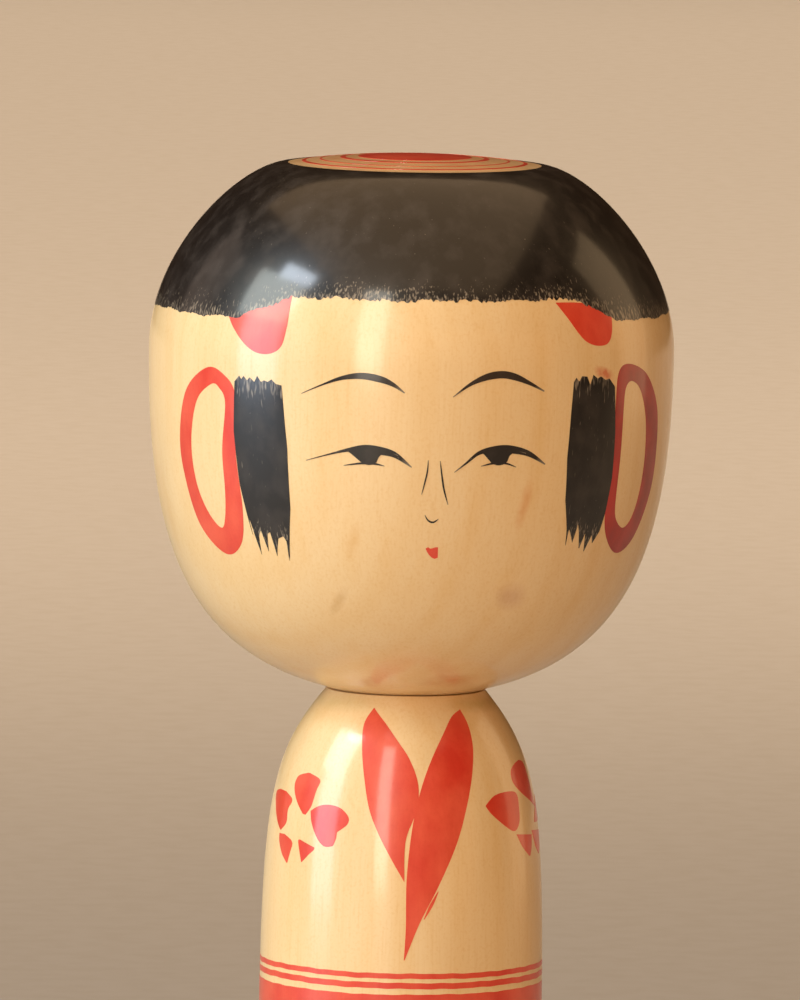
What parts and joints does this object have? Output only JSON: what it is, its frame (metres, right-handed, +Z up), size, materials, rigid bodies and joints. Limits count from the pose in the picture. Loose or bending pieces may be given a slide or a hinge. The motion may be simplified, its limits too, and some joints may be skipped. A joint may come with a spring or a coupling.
{
  "type": "kokeshi doll",
  "caption": "Turned wooden doll with a large round head plugged into a plain column body, painted with a face, a collar and blossoms.",
  "frame": {"origin": "centre of the foot, on the surface that the doll stands on", "axes": "+Z up along the axis the pieces are turned on; the face looks along -Y, and +X is to the doll's left"},
  "size_m": [0.0796, 0.0796, 0.2431],
  "materials": {
    "body_wood": "turned pale hardwood, waxed, aged to honey",
    "head_wood": "turned pale hardwood, waxed, aged to honey",
    "black_ink": "black ink on wood under wax, glossy",
    "red_dye": "red dye soaked into wood under wax, the grain showing through"
  },
  "bodies": {
    "body": {"body": "body_wood"},
    "head": {"head": "head_wood"}
  },
  "joints": [
    {"name": "head_swivel", "type": "hinge", "parent": "body", "child": "head", "pos_m": [0, 0, 0.1623], "axis": [0, 0, 1], "continuous": true}
  ]
}
